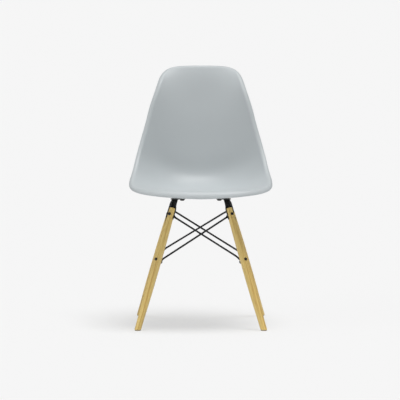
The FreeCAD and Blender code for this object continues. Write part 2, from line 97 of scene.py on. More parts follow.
# Bosses under the seat. The flare's rows are added radius and distance below the top.
BOSS_RADIUS = 0.014
BOSS_EDGE = 0.0006
BOSS_SINK = 0.55
BOSS_FLARE = ((0.0004, 0.0052), (0.0010, 0.0032), (0.0024, 0.0012), (0.0028, 0.0))

# Base
MOUNT_PLANE = 0.415
PAD_THICKNESS = 0.003
PAD_UNDERSIDE = MOUNT_PLANE - PAD_THICKNESS
SCREW_SPAN = (0.120, 0.134)
FOOT_SPAN = (0.4052, 0.448)
LEG_SPLAY = math.radians(16.25)
BOLT_AZIMUTH = math.radians(31.4)
PAD_RADIUS = 0.015
NECK_LENGTH = 0.030
NECK_RADIUS = 0.009
NECK_SINK = 0.001
CUP_LENGTH = 0.0355
CUP_LOW = NECK_LENGTH + CUP_LENGTH
CUP_RADIUS = 0.0124
CUP_WALL = 0.0023
CUP_EDGE = 0.0006
LEG_FOOT_RADIUS = 0.0104
LEG_LOWER_RADIUS = 0.0120
LEG_BELLY_RADIUS = 0.0126
LEG_UPPER_RADIUS = 0.0120
LEG_SHOULDER_RADIUS = 0.0109
LEG_TOP_RADIUS = 0.0100
LEG_LOWER_SHARE = 0.26
LEG_UPPER_SHARE = 0.78
BELLY_REACH = 0.024
FOOT_STRAIGHT = 0.014
LEG_TOP_CHAMFER = 0.001
SHOULDER_EDGE = 0.0004
FOOT_CUT_FADE = 12
LEG_STEPS = 60
LEG_SEGMENTS = 64
UPPER_BOLT_DOWN = 0.052
LOWER_BOLT_DOWN = 0.207
SEAT_FLAT = 0.0005
UPPER_SEAT = CUP_RADIUS - SEAT_FLAT
LOWER_SEAT = LEG_BELLY_RADIUS - SEAT_FLAT
UPPER_WOOD = LEG_TOP_RADIUS + 0.0003
HEAD_SINK = 0.0015
HEAD_RADIUS = 0.005
HEAD_HEIGHT = 0.0033
HEAD_SOCKET = 0.002
HEAD_EDGE = 0.0003
HEAD_WALL = 0.45
SOCKET_CORNERS = 0.66
SOCKET_TAPER = 0.96
SOCKET_FLOOR = 0.45
NUT_FLAT = 0.005
NUT_HEIGHT = 0.005
NUT_EDGE = 0.0006
NUT_CORNERS = 0.955
BOLT_RADIUS = 0.003
BOLT_END = 0.0015
TIP_INSET = 0.0005
TIP_LENGTH = 0.0004
FLANGE_RADIUS = 0.0105
FLANGE_THICKNESS = 0.0018
FLANGE_EDGE = 0.0005
SCREW_RADIUS = 0.0075
SCREW_HEIGHT = 0.007
SCREW_SOCKET = 0.003
ROD_RADIUS = 0.003
ROD_GAP = 0.0003
ROD_SEGMENTS = 28
EYE_RADIUS = 0.0065
EYE_THICKNESS = 0.0028
EYE_EDGE = 0.0005
EYE_PLAY = 0.0001
KNEE_DISTANCE = 0.014
KNEE_ROUND = 0.0042
KNEE_START = 0.62
KNEE_STEPS = 8
GLIDE_RADIUS = 0.0095
GLIDE_THICKNESS = 0.0035
GLIDE_EDGE = 0.0008
EDGE_MIDDLE = 0.3

# Rounded edge of a bracket's pad: inset and height
PAD_EDGE = (
    (0.0007, 0.0),
    (0.0002, 0.0002),
    (0.0, 0.0007),
    (0.0, 0.0023),
    (0.0002, 0.0028),
    (0.0007, 0.003),
)

# Neck and cup of a bracket: distance below the crown and outer radius
BRACKET_PROFILE = (
    (-NECK_SINK, NECK_RADIUS),
    (0.012, NECK_RADIUS),
    (0.020, NECK_RADIUS + 0.0006),
    (0.026, CUP_RADIUS - 0.0012),
    (0.030, CUP_RADIUS - 0.0003),
    (0.034, CUP_RADIUS),
    (CUP_LOW - CUP_EDGE, CUP_RADIUS),
    (CUP_LOW, CUP_RADIUS - CUP_EDGE),
)

# Dome of a fastener's head: shares of its radius and height
HEAD_DOME = ((0.96, 0.72), (0.86, 0.90), (0.68, 1.0))

# Pressed part of a rod: distance from its eye, half width and half thickness
ROD_PRESS = ((0.0045, 0.0045, 0.0014), (0.0070, 0.0041, 0.0015), (0.0088, 0.0034, 0.0022))

CORNERS = (
    ("front_left", -1, -1),
    ("front_right", 1, -1),
    ("rear_right", 1, 1),
    ("rear_left", -1, 1),
)
SIDES = ("front", "right", "rear", "left")

# Steps of the meshes and of the two searches
TURNED_SEGMENTS = 48
ARC_STEPS = 24
CREASE = 38.0
SHELL_CREASE = 60.0
HEIGHT_TURNS = 30
GAP_TURNS = 20
GAP_PACE = 1.4

# Camera, whose frame is 400 by 400 pixels
FRAME_PIXELS = 400.0
SENSOR = 36.0
CAMERA_DISTANCE = 11.658
CAMERA_HEIGHT = 1.289
FOCAL_PIXELS = 3594.0
CAMERA_PITCH = math.radians(4.35)
MIDDLE_PIXEL = 200.8
CAMERA_REACH = 200.0

# Colours, linear
SHELL_COLOUR = (0.57, 0.61, 0.625)
STEEL_COLOUR = (0.010, 0.010, 0.011)
BOLT_COLOUR = (0.014, 0.014, 0.014)
INSERT_COLOUR = (0.45, 0.44, 0.42)
GLIDE_COLOUR = (0.42, 0.36, 0.25)
FLOOR_COLOUR = 0.92
FLOOR_BOUNCE = 0.90
FLOOR_GLOW = 0.55
FLOOR_SIZE = 150.0

# Textures: size of the grain, and height and strength of its bumps
FINE_DETAIL = 2.0
SHELL_ROUGHNESS = 0.44
SHELL_GRAIN = 0.0011
SHELL_BUMP = (0.00006, 0.35)
STEEL_GRAIN = 0.0007
STEEL_BUMP = (0.00003, 0.4)

# Wood, with the tones of its grain and of its pores, each at a place of the noise
WOOD_ROUGHNESS = 0.38
WOOD_GRAIN = (0.006, 0.006, 0.20)
WOOD_DETAIL = 5.0
WOOD_TONES = (
    (0.34, (0.72, 0.47, 0.140)),
    (0.50, (0.93, 0.68, 0.240)),
    (0.68, (0.97, 0.74, 0.290)),
)
PORE_GRAIN = (0.0009, 0.0009, 0.045)
PORE_DETAIL = 3.0
PORE_TONES = ((0.36, (0.78, 0.74, 0.66)), (0.50, (1.0, 1.0, 1.0)))
PORE_SHARE = 0.65
PORE_BUMP = (0.00008, 0.35)
WOOD_SPREAD = 3.0

# Light: brightness of the sky, and each lamp's direction, share and spread
SKY_HORIZON = 0.0
SKY_ZENITH = 0.60
LAMPS = (
    ("Key light", (0.14, -0.10, 1.0), 0.56, 34.0),
    ("Side light", (-1.0, -0.6, 0.5), 0.04, 60.0),
)


# Materials
def node_material(name):
    material = bpy.data.materials.new(name)
    material.use_nodes = True
    tree = material.node_tree
    return material, tree, tree.nodes["Principled BSDF"]


def noise(tree, size, detail, origin=(0.0, 0.0, 0.0), turn=(0.0, 0.0, 0.0)):
    """Noise of a size along each axis, in metres, about an origin and turn."""
    place = tree.nodes.new("ShaderNodeTexCoord")
    mapping = tree.nodes.new("ShaderNodeMapping")
    mapping.vector_type = "TEXTURE"
    mapping.inputs["Scale"].default_value = size
    mapping.inputs["Location"].default_value = origin
    mapping.inputs["Rotation"].default_value = turn
    tree.links.new(place.outputs["Object"], mapping.inputs["Vector"])
    texture = tree.nodes.new("ShaderNodeTexNoise")
    texture.inputs["Scale"].default_value = 1.0
    texture.inputs["Detail"].default_value = detail
    tree.links.new(mapping.outputs["Vector"], texture.inputs["Vector"])
    return texture


def bump(tree, shader, texture, distance, strength):
    node = tree.nodes.new("ShaderNodeBump")
    node.inputs["Strength"].default_value = strength
    node.inputs["Distance"].default_value = distance
    tree.links.new(texture.outputs["Fac"], node.inputs["Height"])
    tree.links.new(node.outputs["Normal"], shader.inputs["Normal"])


def ramp_between(tree, texture, stops):
    """Colours of the texture's value between stops of place and colour."""
    node = tree.nodes.new("ShaderNodeValToRGB")
    ramp = node.color_ramp
    while len(ramp.elements) < len(stops):
        ramp.elements.new(0.5)
    for element, (position, colour) in zip(ramp.elements, stops):
        element.position = position
        element.color = (*colour, 1.0)
    tree.links.new(texture.outputs["Fac"], node.inputs["Fac"])
    return node


def make_plastic():
    material, tree, shader = node_material("Moulded plastic")
    shader.inputs["Base Color"].default_value = (*SHELL_COLOUR, 1.0)
    shader.inputs["Roughness"].default_value = SHELL_ROUGHNESS
    bump(tree, shader, noise(tree, (SHELL_GRAIN,) * 3, FINE_DETAIL), *SHELL_BUMP)
    return material


def make_finish(name, colour, roughness, metallic=0.0):
    """One colour with a fine texture, for lacquered steel and small parts."""
    material, tree, shader = node_material(name)
    shader.inputs["Base Color"].default_value = (*colour, 1.0)
    shader.inputs["Roughness"].default_value = roughness
    shader.inputs["Metallic"].default_value = metallic
    bump(tree, shader, noise(tree, (STEEL_GRAIN,) * 3, FINE_DETAIL), *STEEL_BUMP)
    return material


def make_wood(name, origin, turn):
    """Straight grain along the turned Z, with fine pores."""
    material, tree, shader = node_material(name)
    grain = noise(tree, WOOD_GRAIN, WOOD_DETAIL, origin, turn)
    tone = ramp_between(tree, grain, WOOD_TONES)
    pores = noise(tree, PORE_GRAIN, PORE_DETAIL, origin, turn)
    speck = ramp_between(tree, pores, PORE_TONES)
    mix = tree.nodes.new("ShaderNodeMix")
    mix.data_type = "RGBA"
    mix.blend_type = "MULTIPLY"
    mix.inputs["Factor"].default_value = PORE_SHARE
    tree.links.new(tone.outputs["Color"], mix.inputs["A"])
    tree.links.new(speck.outputs["Color"], mix.inputs["B"])
    tree.links.new(mix.outputs["Result"], shader.inputs["Base Color"])
    shader.inputs["Roughness"].default_value = WOOD_ROUGHNESS
    bump(tree, shader, pores, *PORE_BUMP)
    return material


PLASTIC = make_plastic()
BRACKET_STEEL = make_finish("Bracket steel", STEEL_COLOUR, 0.45)
ROD_STEEL = make_finish("Rod steel", STEEL_COLOUR, 0.50)
BOLT_STEEL = make_finish("Bolt steel", BOLT_COLOUR, 0.30)
INSERT_STEEL = make_finish("Insert steel", INSERT_COLOUR, 0.35, 1.0)
GLIDE_PLASTIC = make_finish("Glide plastic", GLIDE_COLOUR, 0.55)


# Meshes
class Form:
    """Points and faces of one piece, gathered from simpler forms."""

    def __init__(self):
        self.points = []
        self.faces = []

    def add(self, shape, matrix=Matrix()):
        points, faces = shape
        start = len(self.points)
        self.points += [matrix @ Vector(point) for point in points]
        self.faces += [tuple(start + k for k in face) for face in faces]

    def finish(self, name, material, node, slot, crease=CREASE):
        mesh = bpy.data.meshes.new(name)
        mesh.from_pydata([tuple(point) for point in self.points], [], self.faces)
        mesh.validate()
        mesh.materials.append(material)
        mesh.shade_smooth()
        mesh.set_sharp_from_angle(angle=math.radians(crease))
        piece = bpy.data.objects.new(name, mesh)
        bpy.context.scene.collection.objects.link(piece)
        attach(piece, "root")
        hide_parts(node)


def strip(rings, closed_path=False, caps=True):
    """Skin over closed rings of equal count, whose ends are capped or joined."""
    count = len(rings[0])
    points = [point for ring in rings for point in ring]
    faces = []
    last = len(rings) if closed_path else len(rings) - 1
    for j in range(last):
        here = j * count
        after = ((j + 1) % len(rings)) * count
        for k in range(count):
            n = (k + 1) % count
            faces.append((here + k, here + n, after + n, after + k))
    if caps and not closed_path:
        faces.append(tuple(reversed(range(count))))
        faces.append(tuple((len(rings) - 1) * count + k for k in range(count)))
    return points, faces


def turned(profile, closed_path=False):
    """Solid turned about Z from rows of radius and height.

    A third value makes a ring six-sided, with its corners cut at that radius.
    """
    rings = []
    for row in profile:
        ring = []
        for k in range(TURNED_SEGMENTS):
            angle = 2.0 * math.pi * k / TURNED_SEGMENTS
            radius = row[0]
            if len(row) > 2:
                within = (angle + math.pi / 6.0) % (math.pi / 3.0) - math.pi / 6.0
                radius = min(row[0] / math.cos(within), row[2])
            ring.append((radius * math.cos(angle), radius * math.sin(angle), row[1]))
        rings.append(ring)
    return strip(rings, closed_path=closed_path)


def facing(point, direction):
    """Matrix that puts the origin at the point and +Z along the direction."""
    turn = Vector(direction).to_track_quat("Z", "Y").to_matrix().to_4x4()
    return Matrix.Translation(point) @ turn


# Sheet
def spline(places, values):
    """Natural cubic spline through the values, as a function of place."""
    count = len(places)
    steps = [places[i + 1] - places[i] for i in range(count - 1)]
    rises = [(values[i + 1] - values[i]) / steps[i] for i in range(count - 1)]
    diagonal = [1.0]
    bends = [0.0]
    for i in range(1, count - 1):
        share = steps[i - 1] / diagonal[-1] if i > 1 else 0.0
        diagonal.append(2.0 * (steps[i - 1] + steps[i]) - share * steps[i - 1])
        bends.append(6.0 * (rises[i] - rises[i - 1]) - share * bends[-1])
    second = [0.0] * count
    for i in range(count - 2, 0, -1):
        second[i] = (bends[i] - steps[i] * second[i + 1]) / diagonal[i]

    def value(place):
        i = 0
        while i < count - 2 and place > places[i + 1]:
            i += 1
        before = (places[i + 1] - place) / steps[i]
        after = (place - places[i]) / steps[i]
        curve = (before ** 3 - before) * second[i] + (after ** 3 - after) * second[i + 1]
        return before * values[i] + after * values[i + 1] + curve * steps[i] ** 2 / 6.0

    return value


class Sheet:
    """The sitting surface, as a point for each share along and across."""

    def __init__(self):
        front = SHEET_SHIFT - SHEET_DEPTH / 2.0
        middle_y = [front + SHEET_DEPTH * row[0] for row in STATIONS]
        middle_z = [SEAT_HEIGHT + BACK_RISE * row[1] for row in STATIONS]
        run = [0.0]
        for i in range(1, len(STATIONS)):
            step = math.hypot(middle_y[i] - middle_y[i - 1], middle_z[i] - middle_z[i - 1])
            run.append(run[-1] + step)
        places = [length / run[-1] for length in run]
        self.middle_y = spline(places, middle_y)
        self.middle_z = spline(places, middle_z)
        self.edge_x = spline(places, [SHEET_WIDTH / 2.0 * row[2] for row in STATIONS])
        self.edge_y = spline(places, [front + SHEET_DEPTH * row[3] for row in STATIONS])
        self.edge_z = spline(places, [SEAT_HEIGHT + BACK_RISE * row[4] for row in STATIONS])
        self.fullness = spline(places, [row[5] for row in STATIONS])

    def point(self, along, across):
        lift = abs(across) ** self.fullness(along)
        y = self.middle_y(along)
        z = self.middle_z(along)
        y += (self.edge_y(along) - y) * lift
        z += (self.edge_z(along) - z) * lift
        return Vector((self.edge_x(along) * across, y, z))

    def normal(self, along, across):
        step = NORMAL_STEP
        forward = self.point(along + step, across) - self.point(along - step, across)
        sideways = self.point(along, across + step) - self.point(along, across - step)
        return sideways.cross(forward).normalized()

    def height_at(self, x, y):
        """Height of the sheet's upper side over a place near its middle."""
        along = POLE_SHARE
        for _ in range(HEIGHT_TURNS):
            along += (y - self.point(along, x / self.edge_x(along)).y) / (2.0 * SHEET_DEPTH)
        return self.point(along, x / self.edge_x(along)).z


def rounded(angle, corner):
    """Point of a rounded square of half size 1, whose corner has two exponents."""
    cosine = math.cos(angle)
    sine = math.sin(angle)
    across = math.copysign(abs(cosine) ** (2.0 / corner[0]), cosine)
    along = math.copysign(abs(sine) ** (2.0 / corner[1]), sine)
    return 0.5 + along / 2.0, across


def sheet_outline(sheet, count):
    """Edge of the sheet as shares, in steps that are shorter where it turns."""
    shares = []
    for i in range(FINE_STEPS + 1):
        angle = math.pi / 2.0 + 2.0 * math.pi * i / FINE_STEPS
        quarter = math.floor(angle / (math.pi / 2.0)) * math.pi / 2.0
        within = (angle - quarter) / (math.pi / 2.0)
        packed = within ** CORNER_PACKING
        within = packed / (packed + (1.0 - within) ** CORNER_PACKING)
        angle = quarter + within * math.pi / 2.0
        corner = TOP_CORNER if math.sin(angle) >= 0.0 else FRONT_CORNER
        shares.append(rounded(angle, corner))
    points = [sheet.point(*share) for share in shares]
    measure = [0.0]
    heading = None
    for i in range(FINE_STEPS):
        step = points[i + 1] - points[i]
        turn = 0.0
        if step.length > SHORTEST_STEP:
            if heading is not None:
                turn = heading.angle(step)
            heading = step
        measure.append(measure[-1] + step.length + TURNING_WEIGHT * turn)
    outline = []
    i = 0
    for k in range(count):
        target = measure[-1] * k / count
        while measure[i + 1] < target:
            i += 1
        part = (target - measure[i]) / max(measure[i + 1] - measure[i], LEAST_MEASURE)
        along = shares[i][0] + (shares[i + 1][0] - shares[i][0]) * part
        across = shares[i][1] + (shares[i + 1][1] - shares[i][1]) * part
        outline.append((along, across))
    return outline


def clamp(value):
    return min(max(value, 0.0), 1.0)


def lip_sizes(along, across):
    """Roll radius and skirt length of the rim at a place on the outline."""
    front = clamp(1.0 - abs(across) ** FRONT_FADE) * clamp((FRONT_REACH - along) / FRONT_REACH)
    top = clamp((along - TOP_START) / TOP_REACH)
    roll = RIM_ROLL + (FRONT_ROLL - RIM_ROLL) * front + (TOP_ROLL - RIM_ROLL) * top
    skirt = RIM_SKIRT + (FRONT_SKIRT - RIM_SKIRT) * front + (TOP_SKIRT - RIM_SKIRT) * top
    return roll, skirt


def make_shell(sheet):
    """Upper side, rolled rim with a rounded edge, under side and bosses."""
    outline = sheet_outline(sheet, OUTLINE_STEPS)
    edge = [sheet.point(*share) for share in outline]
    up = [sheet.normal(*share) for share in outline]
    sizes = [lip_sizes(*share) for share in outline]
    out = []
    for i in range(len(outline)):
        ahead = edge[(i + 1) % len(edge)] - edge[i - 1]
        out.append(ahead.cross(up[i]).normalized())

    def sheet_ring(share, depth):
        ring = []
        for along, across in outline:
            here = (POLE_SHARE + share * (along - POLE_SHARE), share * across)
            ring.append(sheet.point(*here) - sheet.normal(*here) * depth)
        return ring

    def roll_ring(angle, depth, skirt_share, nose=0.0):
        ring = []
        for i in range(len(outline)):
            radius = sizes[i][0] - depth
            drop = depth + radius * (1.0 - math.cos(angle))
            drop += (sizes[i][1] - half) * skirt_share + nose
            ring.append(edge[i] + out[i] * radius * math.sin(angle) - up[i] * drop)
        return ring

    square = math.pi / 2.0
    half = SHELL_THICKNESS / 2.0
    shares = [math.sin(square * (k + 0.5) / SHEET_RINGS) for k in range(SHEET_RINGS)]
    angles = [square * k / ROLL_STEPS for k in range(ROLL_STEPS + 1)]
    rings = [sheet_ring(share, 0.0) for share in shares]
    rings += [roll_ring(angle, 0.0, 0.0) for angle in angles]
    for k in range(NOSE_STEPS + 1):
        turn = math.pi * k / NOSE_STEPS
        rings.append(roll_ring(square, half - half * math.cos(turn), 1.0, half * math.sin(turn)))
    rings += [roll_ring(angle, SHELL_THICKNESS, 0.0) for angle in reversed(angles)]
    rings += [sheet_ring(share, SHELL_THICKNESS) for share in reversed(shares)]

    form = Form()
    points, faces = strip(rings, caps=False)
    count = len(outline)
    for ring_start, depth, turn in ((0, 0.0, 1), ((len(rings) - 1) * count, SHELL_THICKNESS, -1)):
        pole = sheet.point(POLE_SHARE, 0.0) - sheet.normal(POLE_SHARE, 0.0) * depth
        points.append(pole)
        middle = len(points) - 1
        for k in range(count):
            pair = (ring_start + (k + 1) % count, ring_start + k)
            faces.append((middle, *pair[::turn]))
    form.add((points, faces))
    for _, sign_x, sign_y in CORNERS:
        x = sign_x * SCREW_SPAN[0] / 2.0
        y = sign_y * SCREW_SPAN[1] / 2.0
        height = sheet.height_at(x, y) - SHELL_THICKNESS * BOSS_SINK - MOUNT_PLANE
        profile = [(BOSS_RADIUS - BOSS_EDGE, 0.0), (BOSS_RADIUS, BOSS_EDGE)]
        profile += [(BOSS_RADIUS + wider, height - below) for wider, below in BOSS_FLARE]
        form.add(turned(profile), Matrix.Translation((x, y, MOUNT_PLANE)))
    form.finish("Moulded_seat_and_back", PLASTIC, "seat_shell", "shell_plastic", SHELL_CREASE)


# Base
class Corner:
    """Where one leg stands, leans and is bolted."""

    def __init__(self, name, sign_x, sign_y):
        slope = math.tan(LEG_SPLAY)
        self.name = name
        self.foot = Vector((sign_x * FOOT_SPAN[0] / 2.0, sign_y * FOOT_SPAN[1] / 2.0, 0.0))
        self.up = Vector((-sign_x * slope, -sign_y * slope, 1.0)).normalized()
        self.screw = Vector((sign_x * SCREW_SPAN[0] / 2.0, sign_y * SCREW_SPAN[1] / 2.0, PAD_UNDERSIDE))
        self.crown = self.foot + self.up * (PAD_UNDERSIDE / self.up.z)
        outward = Vector((sign_x * math.sin(BOLT_AZIMUTH), sign_y * math.cos(BOLT_AZIMUTH), 0.0))
        self.out = (outward - self.up * outward.dot(self.up)).normalized()
        self.side = self.up.cross(self.out)
        self.length = (self.crown - self.foot).length - NECK_LENGTH

    def down(self, distance):
        return self.crown - self.up * distance


def leg_radii(corner):
    """Rows of distance from the floor and radius, from foot to top."""
    shoulder = corner.length - CUP_LENGTH
    bolt = corner.length + NECK_LENGTH - LOWER_BOLT_DOWN
    lower = spline(
        [0.0, FOOT_STRAIGHT, corner.length * LEG_LOWER_SHARE, bolt - BELLY_REACH, bolt],
        [LEG_FOOT_RADIUS, LEG_FOOT_RADIUS, LEG_LOWER_RADIUS, LEG_BELLY_RADIUS, LEG_BELLY_RADIUS],
    )
    upper = spline(
        [bolt, bolt + BELLY_REACH, corner.length * LEG_UPPER_SHARE, shoulder],
        [LEG_BELLY_RADIUS, LEG_BELLY_RADIUS, LEG_UPPER_RADIUS, LEG_SHOULDER_RADIUS],
    )
    rows = []
    for j in range(LEG_STEPS + 1):
        distance = (shoulder - SHOULDER_EDGE) * j / LEG_STEPS
        rows.append((distance, lower(distance) if distance < bolt else upper(distance)))
    rows += [
        (shoulder, LEG_SHOULDER_RADIUS - SHOULDER_EDGE),
        (shoulder, LEG_TOP_RADIUS),
        (corner.length - LEG_TOP_CHAMFER, LEG_TOP_RADIUS),
        (corner.length, LEG_TOP_RADIUS - LEG_TOP_CHAMFER),
    ]
    return rows


def make_leg(corner):
    """Turned leg, cut flat on its glide by a slant that fades out up the leg."""
    rings = []
    for distance, radius in leg_radii(corner):
        slant = (1.0 - distance / corner.length) ** FOOT_CUT_FADE
        ring = []
        for k in range(LEG_SEGMENTS):
            angle = 2.0 * math.pi * k / LEG_SEGMENTS
            across = corner.out * math.cos(angle) + corner.side * math.sin(angle)
            low = (GLIDE_THICKNESS - (corner.foot + across * radius).z) / corner.up.z
            ring.append(corner.foot + across * radius + corner.up * (distance + low * slant))
        rings.append(ring)
    form = Form()
    form.add(strip(rings))
    turn = Matrix((corner.out, corner.side, corner.up)).transposed().to_euler()
    origin = corner.foot * WOOD_SPREAD
    material = make_wood("Leg wood " + corner.name.replace("_", " "), origin, turn)
    form.finish("Turned_leg_" + corner.name, material, "leg_" + corner.name, "leg_wood")


def make_bracket(corner):
    """Pad from the screw to the leg, with a half-round neck and cup below it."""
    form = Form()
    ahead = corner.screw - corner.crown
    heading = math.atan2(ahead.y, ahead.x)
    ends = ((corner.screw, heading - math.pi / 2.0), (corner.crown, heading + math.pi / 2.0))
    rings = []
    for inset, height in PAD_EDGE:
        reach = PAD_RADIUS - inset
        ring = []
        for middle, start in ends:
            for k in range(ARC_STEPS + 1):
                angle = start + math.pi * k / ARC_STEPS
                ring.append((
                    middle.x + reach * math.cos(angle),
                    middle.y + reach * math.sin(angle),
                    PAD_UNDERSIDE + height,
                ))
        rings.append(ring)
    form.add(strip(rings))

    rings = []
    for distance, outer in BRACKET_PROFILE:
        wall = CUP_WALL if distance < CUP_LOW else CUP_WALL - 2.0 * CUP_EDGE
        ring = []
        for radius, turns in (
            (outer, range(ARC_STEPS + 1)),
            (outer - wall, range(ARC_STEPS, -1, -1)),
        ):
            for k in turns:
                angle = math.pi * k / ARC_STEPS
                radial = corner.side * math.cos(angle) - corner.out * math.sin(angle)
                point = corner.down(distance) + radial * radius
                if distance < 0.0:
                    point += corner.up * ((PAD_UNDERSIDE + NECK_SINK - point.z) / corner.up.z)
                ring.append(point)
        rings.append(ring)
    form.add(strip(rings))
    node = "leg_bracket_" + corner.name
    form.finish("Steel_bracket_" + corner.name, BRACKET_STEEL, node, "bracket_steel")


def head_profile(radius, height, socket, flange=0.0, flange_height=0.0):
    """Domed socket head that rests at zero height, with or without a flange."""
    profile = [(radius, 0.0)]
    if flange:
        profile = [
            (flange - HEAD_EDGE, 0.0),
            (flange, HEAD_EDGE),
            (flange, flange_height - FLANGE_EDGE),
            (flange - FLANGE_EDGE, flange_height),
        ]
    profile += [(radius, flange_height + (height - flange_height) * HEAD_WALL)]
    profile += [(radius * wide, height * high) for wide, high in HEAD_DOME]
    corners_at = radius * SOCKET_CORNERS
    profile += [
        (socket, height, corners_at),
        (socket * SOCKET_TAPER, height - HEAD_EDGE, corners_at),
        (socket * SOCKET_TAPER, height * SOCKET_FLOOR, corners_at),
    ]
    return profile


def make_fasteners(corners):
    """Leg bolts and their nuts, and the screws that hold the pads."""
    groups = (
        ("Upper_bolts", "upper_leg_bolts", UPPER_BOLT_DOWN, UPPER_WOOD, UPPER_SEAT),
        ("Lower_bolts", "lower_leg_bolts", LOWER_BOLT_DOWN, LEG_BELLY_RADIUS, LOWER_SEAT),
    )
    nuts = Form()
    for name, node, distance, wood, seat in groups:
        bolts = Form()
        for corner in corners:
            axis_point = corner.down(distance)
            head = facing(axis_point + corner.out * (wood - HEAD_SINK), corner.out)
            bolts.add(turned(head_profile(HEAD_RADIUS, HEAD_HEIGHT, HEAD_SOCKET)), head)
            stack = seat + 2.0 * EYE_THICKNESS
            end = stack + NUT_HEIGHT + BOLT_END
            shank = [
                (BOLT_RADIUS - TIP_INSET, -end),
                (BOLT_RADIUS, -end + TIP_LENGTH),
                (BOLT_RADIUS, -stack),
            ]
            bolts.add(turned(shank), facing(axis_point, corner.out))
            corners_at = NUT_FLAT / math.cos(math.pi / 6.0)
            profile = [
                (NUT_FLAT, 0.0, corners_at * NUT_CORNERS),
                (NUT_FLAT, NUT_EDGE, corners_at),
                (NUT_FLAT, NUT_HEIGHT - NUT_EDGE, corners_at),
                (NUT_FLAT, NUT_HEIGHT, corners_at * NUT_CORNERS),
            ]
            nuts.add(turned(profile), facing(axis_point - corner.out * stack, -corner.out))
        bolts.finish(name, BOLT_STEEL, node, "bolt_steel")
    nuts.finish("Leg_nuts", BOLT_STEEL, "leg_bolt_nuts", "bolt_steel")
    screws = Form()
    profile = head_profile(SCREW_RADIUS, SCREW_HEIGHT, SCREW_SOCKET, FLANGE_RADIUS, FLANGE_THICKNESS)
    for corner in corners:
        screws.add(turned(profile), facing(corner.screw, (0.0, 0.0, -1.0)))
    screws.finish("Flanged_screws", BOLT_STEEL, "seat_screws", "bolt_steel")


def make_rod(name, node, ends, knees):
    """Round rod with a small bend at each knee and an eye pressed at each end."""
    (top, top_axis), (foot, foot_axis) = ends
    form = Form()
    stations = []
    for eye, knee, beyond in ((top, knees[0], knees[1]), (foot, knees[1], knees[0])):
        leave = (knee - eye).normalized()
        goes = (beyond - knee).normalized()
        half = []
        for reach, wide, thick in ROD_PRESS:
            half.append((eye + leave * reach, leave, wide, thick))
        start = knee - leave * KNEE_ROUND * KNEE_START
        finish = knee + goes * KNEE_ROUND
        for k in range(KNEE_STEPS + 1):
            t = k / KNEE_STEPS
            point = start * (1.0 - t) ** 2 + knee * 2.0 * t * (1.0 - t) + finish * t * t
            heading = ((knee - start) * (1.0 - t) + (finish - knee) * t).normalized()
            half.append((point, heading, ROD_RADIUS, ROD_RADIUS))
        stations.append(half)
    path = stations[0]
    path += [(point, -heading, wide, thick) for point, heading, wide, thick in reversed(stations[1])]
    low_axis = -foot_axis if top_axis.dot(foot_axis) < 0.0 else foot_axis
    rings = []
    for i, (point, tangent, wide, thick) in enumerate(path):
        axis = top_axis if i < len(path) / 2 else low_axis
        flat = (axis - tangent * axis.dot(tangent)).normalized()
        sideways = tangent.cross(flat)
        ring = []
        for k in range(ROD_SEGMENTS):
            angle = 2.0 * math.pi * k / ROD_SEGMENTS
            ring.append(point + sideways * wide * math.cos(angle) + flat * thick * math.sin(angle))
        rings.append(ring)
    form.add(strip(rings))
    half = EYE_THICKNESS / 2.0
    hole = BOLT_RADIUS + EYE_PLAY
    profile = [
        (hole, -half),
        (EYE_RADIUS - EYE_EDGE, -half),
        (EYE_RADIUS, -half + EYE_EDGE),
        (EYE_RADIUS, half - EYE_EDGE),
        (EYE_RADIUS - EYE_EDGE, half),
        (hole, half),
    ]
    for eye, axis in ends:
        form.add(turned(profile, closed_path=True), facing(eye, axis))
    form.finish(name, ROD_STEEL, node, "rod_steel")


def make_side_rods(side, left, right):
    """Crossed rods of one side; the outer one falls to the right, seen from outside."""
    ends = []
    for layer, high, low in ((0, left, right), (1, right, left)):
        depth = (layer + 0.5) * EYE_THICKNESS
        top = high.down(UPPER_BOLT_DOWN) - high.out * (UPPER_SEAT + depth)
        foot = low.down(LOWER_BOLT_DOWN) - low.out * (LOWER_SEAT + depth)
        ends.append(((top, high.out), (foot, low.out)))

    def knees(pair, reach):
        """Where the rod leaves the flats of its two legs, at a reach from each eye."""
        (top, top_axis), (foot, foot_axis) = pair
        run = (foot - top).normalized()
        leave_top = (run - top_axis * run.dot(top_axis)).normalized()
        leave_foot = (foot_axis * run.dot(foot_axis) - run).normalized()
        return top + leave_top * reach, foot + leave_foot * reach

    stretch = 0.0
    for _ in range(GAP_TURNS):
        outer = knees(ends[0], KNEE_DISTANCE + stretch)
        inner = knees(ends[1], KNEE_DISTANCE)
        outward = (outer[1] - outer[0]).cross(inner[1] - inner[0]).normalized()
        if outward.dot(left.foot + right.foot) < 0:
            outward = -outward
        apart = (outer[0] - inner[0]).dot(outward)
        stretch += (2.0 * ROD_RADIUS + ROD_GAP - apart) * GAP_PACE
    make_rod("Crossed_rod_" + side + "_outer", "brace_rod_" + side + "_outer", ends[0], outer)
    make_rod("Crossed_rod_" + side + "_inner", "brace_rod_" + side + "_inner", ends[1], inner)


def make_glide(corner):
    """Round plastic foot with a rounded lower edge."""
    middle = corner.foot + corner.up * (GLIDE_THICKNESS / corner.up.z)
    profile = [
        (GLIDE_RADIUS - GLIDE_EDGE, 0.0),
        (GLIDE_RADIUS - GLIDE_EDGE * EDGE_MIDDLE, GLIDE_EDGE * EDGE_MIDDLE),
        (GLIDE_RADIUS, GLIDE_EDGE),
        (GLIDE_RADIUS, GLIDE_THICKNESS),
    ]
    form = Form()
    form.add(turned(profile), Matrix.Translation((middle.x, middle.y, 0.0)))
    node = "foot_glide_" + corner.name
    form.finish("Floor_glide_" + corner.name, GLIDE_PLASTIC, node, "glide_plastic")


